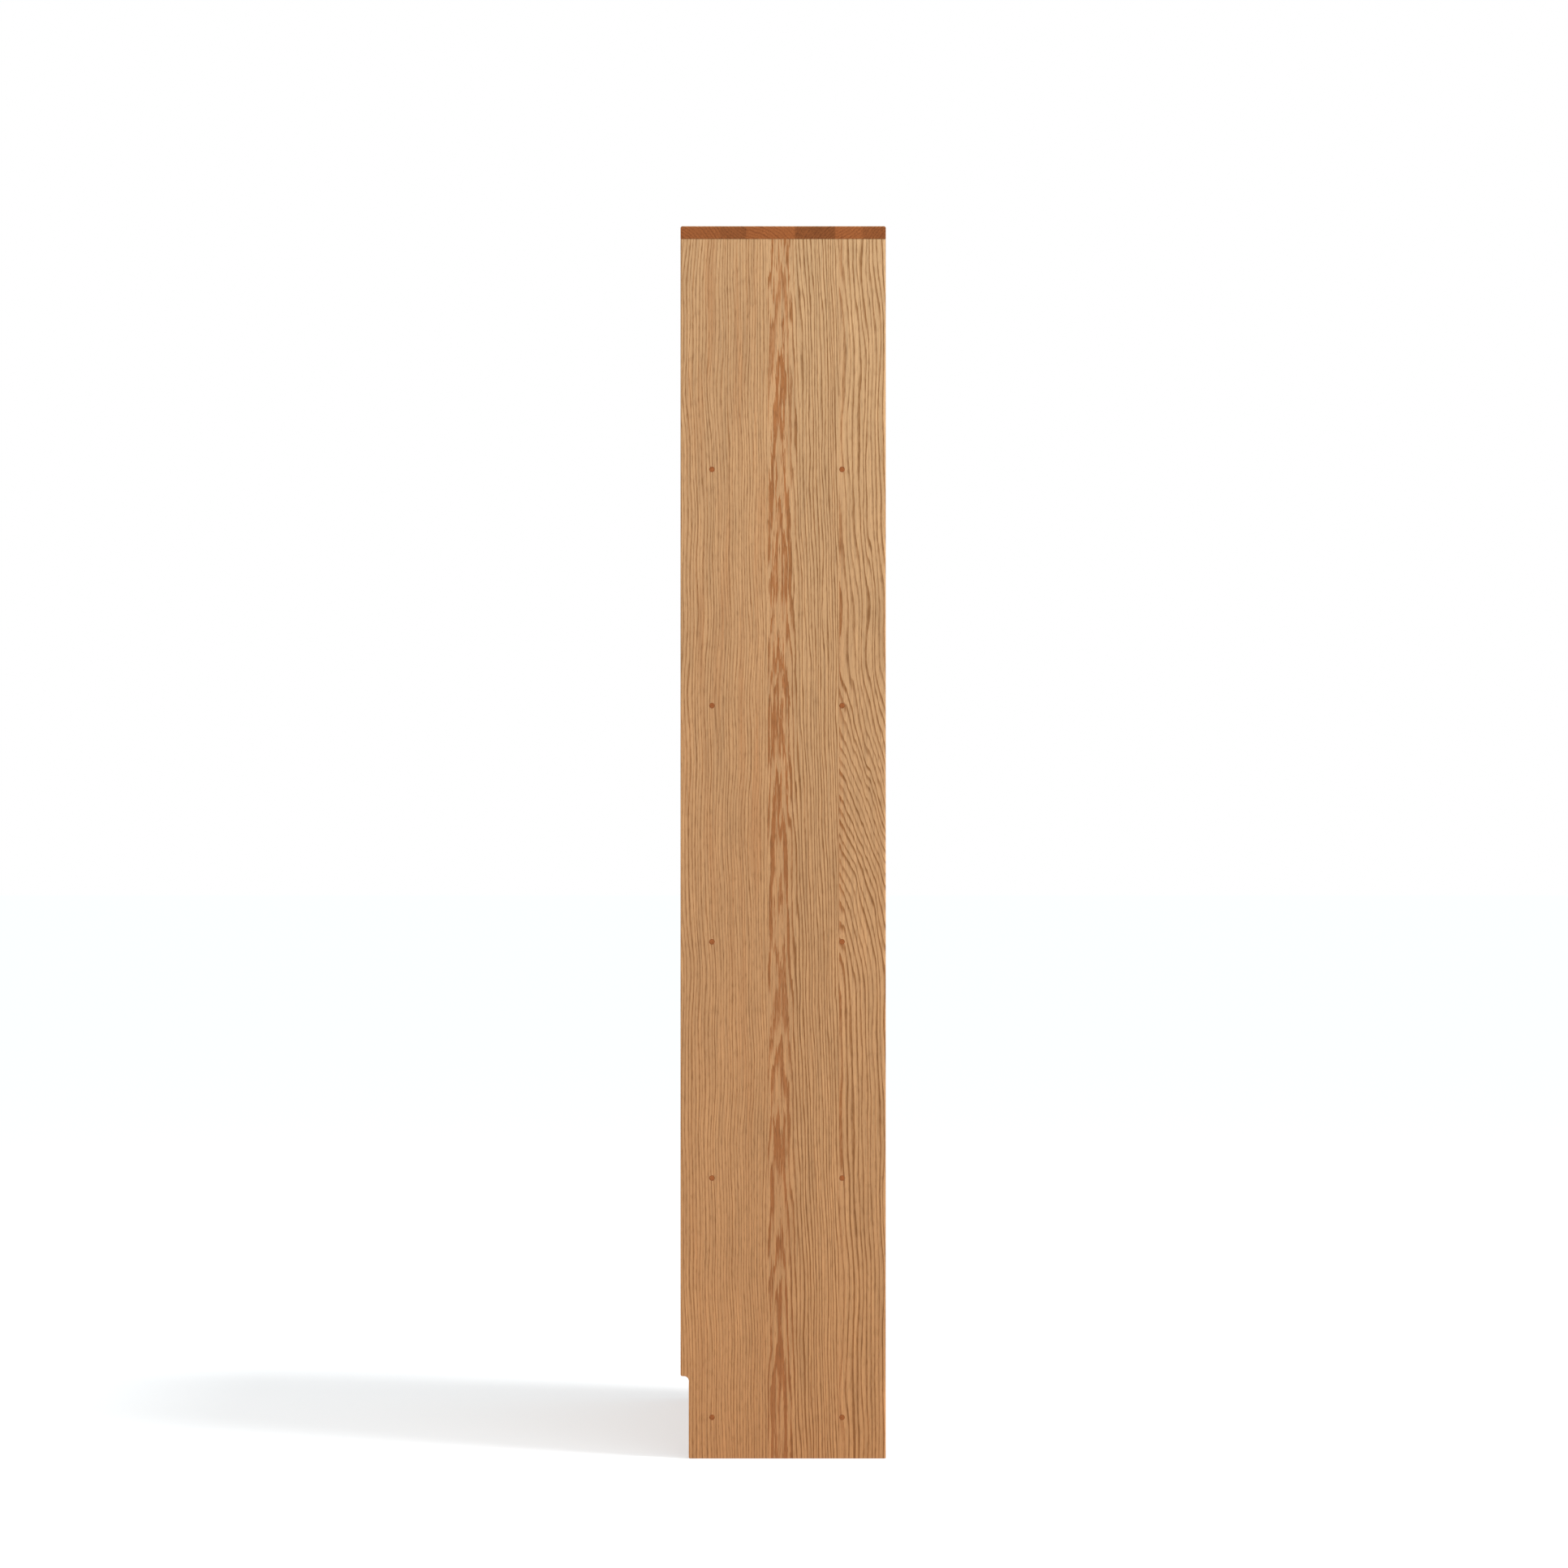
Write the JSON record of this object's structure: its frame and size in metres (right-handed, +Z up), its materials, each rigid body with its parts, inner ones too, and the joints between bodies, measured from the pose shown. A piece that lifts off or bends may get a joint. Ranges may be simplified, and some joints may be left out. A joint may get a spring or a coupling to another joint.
{
  "type": "pantry cabinet",
  "caption": "Tall narrow pantry cabinet in solid oak, with inset glazed doors above, inset panelled doors below, fixed pegged shelves and a back notch for a skirting board.",
  "frame": {"origin": "centre of the footprint, on the floor", "axes": "+Z up, -Y towards the doors, +X towards the right as seen from the front"},
  "size_m": [0.8, 0.3, 1.8],
  "materials": {
    "oak": "light oak, satin oil",
    "oak_door": "light oak, satin oil",
    "oak_end_grain": "oak end grain, darker than the faces, satin oil",
    "oak_back": "light oak boards, satin oil",
    "glass": "clear float glass",
    "brass": "satin",
    "catch": "brown moulded housing with steel pole plates"
  },
  "bodies": {
    "carcass": {"side_panel_left": "oak", "side_panel_right": "oak", "top_board": "oak", "bottom_board": "oak", "divider_shelf": "oak", "shelf_1": "oak", "shelf_3": "oak", "shelf_4": "oak", "plinth_board": "oak", "back_panel": "oak_back", "dowel_left_bottom_front": "oak_end_grain", "dowel_left_bottom_rear": "oak_end_grain", "dowel_left_level_1_front": "oak_end_grain", "dowel_left_level_1_rear": "oak_end_grain", "dowel_left_level_2_front": "oak_end_grain", "dowel_left_level_2_rear": "oak_end_grain", "dowel_left_level_3_front": "oak_end_grain", "dowel_left_level_3_rear": "oak_end_grain", "dowel_left_level_4_front": "oak_end_grain", "dowel_left_level_4_rear": "oak_end_grain", "dowel_right_bottom_front": "oak_end_grain", "dowel_right_bottom_rear": "oak_end_grain", "dowel_right_level_1_front": "oak_end_grain", "dowel_right_level_1_rear": "oak_end_grain", "dowel_right_level_2_front": "oak_end_grain", "dowel_right_level_2_rear": "oak_end_grain", "dowel_right_level_3_front": "oak_end_grain", "dowel_right_level_3_rear": "oak_end_grain", "dowel_right_level_4_front": "oak_end_grain", "dowel_right_level_4_rear": "oak_end_grain", "upper_left_pivot_top": "brass", "upper_left_pivot_bottom": "brass", "upper_right_pivot_top": "brass", "upper_right_pivot_bottom": "brass", "lower_left_pivot_top": "brass", "lower_left_pivot_bottom": "brass", "lower_right_pivot_top": "brass", "lower_right_pivot_bottom": "brass", "upper_catch": "catch", "lower_catch": "catch"},
    "door_upper_left": {"upper_left_hinge_stile": "oak_door", "upper_left_meeting_stile": "oak_door", "upper_left_bottom_rail": "oak_door", "upper_left_top_rail": "oak_door", "upper_left_glass": "glass"},
    "door_upper_right": {"upper_right_hinge_stile": "oak_door", "upper_right_meeting_stile": "oak_door", "upper_right_bottom_rail": "oak_door", "upper_right_top_rail": "oak_door", "upper_right_glass": "glass"},
    "door_lower_left": {"lower_left_hinge_stile": "oak_door", "lower_left_meeting_stile": "oak_door", "lower_left_bottom_rail": "oak_door", "lower_left_top_rail": "oak_door", "lower_left_panel": "oak_door"},
    "door_lower_right": {"lower_right_hinge_stile": "oak_door", "lower_right_meeting_stile": "oak_door", "lower_right_bottom_rail": "oak_door", "lower_right_top_rail": "oak_door", "lower_right_panel": "oak_door"}
  },
  "joints": [
    {"name": "door_upper_left_hinge", "type": "hinge", "parent": "carcass", "child": "door_upper_left", "pos_m": [-0.369, -0.1395, 1.2725], "axis": [0, 0, -1], "range_deg": [0, 105]},
    {"name": "door_upper_right_hinge", "type": "hinge", "parent": "carcass", "child": "door_upper_right", "pos_m": [0.369, -0.1395, 1.2725], "axis": [0, 0, 1], "range_deg": [0, 105]},
    {"name": "door_lower_left_hinge", "type": "hinge", "parent": "carcass", "child": "door_lower_left", "pos_m": [-0.369, -0.1395, 0.4073], "axis": [0, 0, -1], "range_deg": [0, 105]},
    {"name": "door_lower_right_hinge", "type": "hinge", "parent": "carcass", "child": "door_lower_right", "pos_m": [0.369, -0.1395, 0.4073], "axis": [0, 0, 1], "range_deg": [0, 105]}
  ]
}
